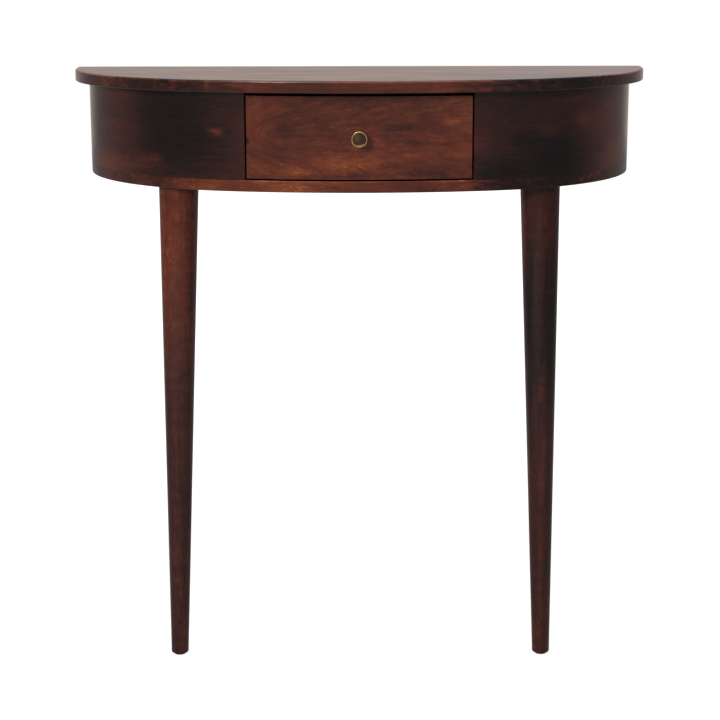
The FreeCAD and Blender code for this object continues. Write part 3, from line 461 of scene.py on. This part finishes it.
def birch_plywood():
    """Plywood of the drawer bottom."""
    finish, tree, surface = new_finish("birch_plywood")
    sheet = grain_of_board(tree, LEVEL_BOARD)
    grain = wandering(tree, sheet, 14, 2.0)
    flame = figure(tree, grain, VENEER_FLAME_MM, 5.0, 3.0)
    pores = figure(tree, grain, VENEER_PORE_MM, 8.0, 1.0)
    tone = add(tree, "ShaderNodeMath", {"operation": "MULTIPLY_ADD"}, {0: flame, 1: 0.2, 2: 0.5})[0]
    tone = add(tree, "ShaderNodeMath", {"operation": "MULTIPLY_ADD"}, {0: pores, 1: 0.08, 2: tone})[0]
    face = add(tree, "ShaderNodeValToRGB", {}, {"Fac": tone},
               ((0.0, "#b08a5c"), (0.5, "#d0b07f"), (1.0, "#e2c99d")))["Color"]
    height = add(tree, "ShaderNodeSeparateXYZ", sockets={0: sheet})["Z"]
    plies = add(tree, "ShaderNodeMath", {"operation": "MULTIPLY"}, {0: height, 1: math.pi / PLY})[0]
    ply = add(tree, "ShaderNodeMath", {"operation": "SINE"}, {0: plies})[0]
    edge = add(tree, "ShaderNodeValToRGB", {}, {"Fac": ply}, ((0.3, "#8a653f"), (0.7, "#cfae7c")))["Color"]
    normal = add(tree, "ShaderNodeNewGeometry")["Normal"]
    up = add(tree, "ShaderNodeSeparateXYZ", sockets={0: normal})["Z"]
    flat = add(tree, "ShaderNodeMath", {"operation": "ABSOLUTE"}, {0: up})[0]
    colour = add(tree, "ShaderNodeMix", {"data_type": "RGBA"}, {0: flat, 6: edge, 7: face})[2]
    tree.links.new(colour, surface.inputs["Base Color"])
    rough = add(tree, "ShaderNodeMapRange", sockets={
        "Value": flame, "From Min": -1.0, "From Max": 1.0, "To Min": 0.62, "To Max": 0.5})[0]
    tree.links.new(rough, surface.inputs["Roughness"])
    surface.inputs["IOR"].default_value = WOOD_IOR
    bump = add(tree, "ShaderNodeBump", {}, {"Strength": 0.2, "Distance": 0.06 * MM, "Height": pores})[0]
    tree.links.new(bump, surface.inputs["Normal"])
    return finish


give("drawer_bottom", birch_plywood())

# Camera at the height and distance of the photograph, tilted down at the table, with its slight roll
CAMERA_PLACE = (0.0012, -2.3358, 0.9060)
CAMERA_TILT = math.radians(77.511)
CAMERA_ROLL = math.radians(0.1)
camera = bpy.data.objects.new("camera", bpy.data.cameras.new("camera"))
bpy.context.scene.collection.objects.link(camera)
camera.location = CAMERA_PLACE
camera.rotation_euler = (CAMERA_TILT, CAMERA_ROLL, 0)
camera.data.sensor_width = 36
camera.data.lens = 91.5
bpy.context.scene.camera = camera


def softbox(name, target, turn, rise, away, size, power, lights_wood=True, mirrored=True):
    """Studio lamp that faces a target, placed by its turn from the front, its rise and its distance."""
    direction = Vector((math.sin(math.radians(turn)) * math.cos(math.radians(rise)),
                        -math.cos(math.radians(turn)) * math.cos(math.radians(rise)),
                        math.sin(math.radians(rise))))
    lamp = bpy.data.lights.new(name, "AREA")
    lamp.shape = "RECTANGLE"
    lamp.size, lamp.size_y = size
    lamp.energy = power
    holder = bpy.data.objects.new(name, lamp)
    holder.location = Vector(target) + away * direction
    holder.rotation_mode = "QUATERNION"
    holder.rotation_quaternion = direction.to_track_quat("Z", "Y")
    holder.visible_diffuse = lights_wood
    holder.visible_glossy = mirrored
    bpy.context.scene.collection.objects.link(holder)


# The low front lamp isn't mirrored, because it would whiten the table top seen from behind; a higher one,
# that is only mirrored, gives the knob and the front arris their glint
softbox("key_softbox", target=(0, -0.15, 0.6), turn=-25, rise=20, away=3.0, size=(0.6, 0.6), power=60,
        mirrored=False)
softbox("overhead_softbox", target=(0, -0.15, 0.76), turn=0, rise=72, away=2.0, size=(1.6, 0.5), power=22)
softbox("glint_softbox", target=(0, -0.15, 0.7), turn=-29, rise=44, away=2.5, size=(0.5, 0.5), power=26,
        lights_wood=False)

# Backdrop that is white to the camera, and mirrored as white only in its upper rear part, so that the
# lacquer stays dark at low angles; the wood is lit by a dim room with a paler ceiling
WHITE = shade("#ffffff")
world = bpy.data.worlds.new("studio")
bpy.context.scene.world = world
world.use_nodes = True
room = world.node_tree
room.nodes.clear()
facing = add(room, "ShaderNodeSeparateXYZ", sockets={0: add(room, "ShaderNodeTexCoord")["Generated"]})
path = add(room, "ShaderNodeLightPath")
direct = add(room, "ShaderNodeMath", {"operation": "MAXIMUM"},
             {0: path["Is Camera Ray"], 1: path["Is Transmission Ray"]})[0]
upper = add(room, "ShaderNodeMapRange", sockets={"Value": facing["Z"], "From Min": 0.25, "From Max": 0.4})[0]
rear = add(room, "ShaderNodeMapRange", sockets={"Value": facing["Y"], "From Min": 0.4, "From Max": 0.6})[0]
upper_rear = add(room, "ShaderNodeMath", {"operation": "MULTIPLY"}, {0: upper, 1: rear})[0]
mirrored = add(room, "ShaderNodeMath", {"operation": "MULTIPLY"}, {0: path["Is Glossy Ray"], 1: upper_rear})[0]
shown = add(room, "ShaderNodeMath", {"operation": "MAXIMUM"}, {0: direct, 1: mirrored})[0]
behind = add(room, "ShaderNodeMapRange", sockets={"Value": facing["Y"], "From Min": -1.0})[0]
walls = add(room, "ShaderNodeValToRGB", {}, {"Fac": behind},
            ((0.0, "#b4b4b4"), (0.4, "#808080"), (0.88, "#8a8a8a"), (0.985, "#cbbeb7")))["Color"]
ceiling = add(room, "ShaderNodeMapRange", sockets={
    "Value": facing["Z"], "From Min": 0.5, "From Max": 0.85, "To Max": 0.6})[0]
around = add(room, "ShaderNodeMix", {"data_type": "RGBA", "blend_type": "LIGHTEN"},
             {0: 1.0, 6: walls, 7: ceiling})[2]
seen = add(room, "ShaderNodeMix", {"data_type": "RGBA"}, {0: shown, 6: around, 7: WHITE})[2]
light = add(room, "ShaderNodeBackground", {}, {"Color": seen, "Strength": 1.0})[0]
add(room, "ShaderNodeOutputWorld", {}, {"Surface": light})

# Pale floor that keeps the soft shadow of the table and melts into the white backdrop further away
HALF_FLOOR = 6
SHADOW_REACH = 0.6
WHITE_FROM = 2.2
GLOW_AT_TABLE = 0.76
floor_mesh = bpy.data.meshes.new("floor")
floor_mesh.from_pydata([(-HALF_FLOOR, -HALF_FLOOR, 0), (HALF_FLOOR, -HALF_FLOOR, 0), (HALF_FLOOR, HALF_FLOOR, 0),
                        (-HALF_FLOOR, HALF_FLOOR, 0)], [], [(0, 1, 2, 3)])
floor = bpy.data.objects.new("floor", floor_mesh)
bpy.context.scene.collection.objects.link(floor)
floor_paint, paint_tree, paint = new_finish("pale_floor_paint")
paint.inputs["Base Color"].default_value = shade("#b8b8b8")
paint.inputs["Roughness"].default_value = 0.9
paint_path = add(paint_tree, "ShaderNodeLightPath")
spot_on_floor = add(paint_tree, "ShaderNodeTexCoord")["Object"]
away = add(paint_tree, "ShaderNodeVectorMath", {"operation": "LENGTH"}, {0: spot_on_floor})["Value"]
white = add(paint_tree, "ShaderNodeMapRange", sockets={
    "Value": away, "From Min": SHADOW_REACH, "From Max": WHITE_FROM, "To Min": GLOW_AT_TABLE})[0]
glow = add(paint_tree, "ShaderNodeMath", {"operation": "MULTIPLY"}, {0: paint_path["Is Camera Ray"], 1: white})[0]
paint.inputs["Emission Color"].default_value = WHITE
paint_tree.links.new(glow, paint.inputs["Emission Strength"])
floor.data.materials.append(floor_paint)

bpy.context.scene.view_settings.view_transform = "Standard"
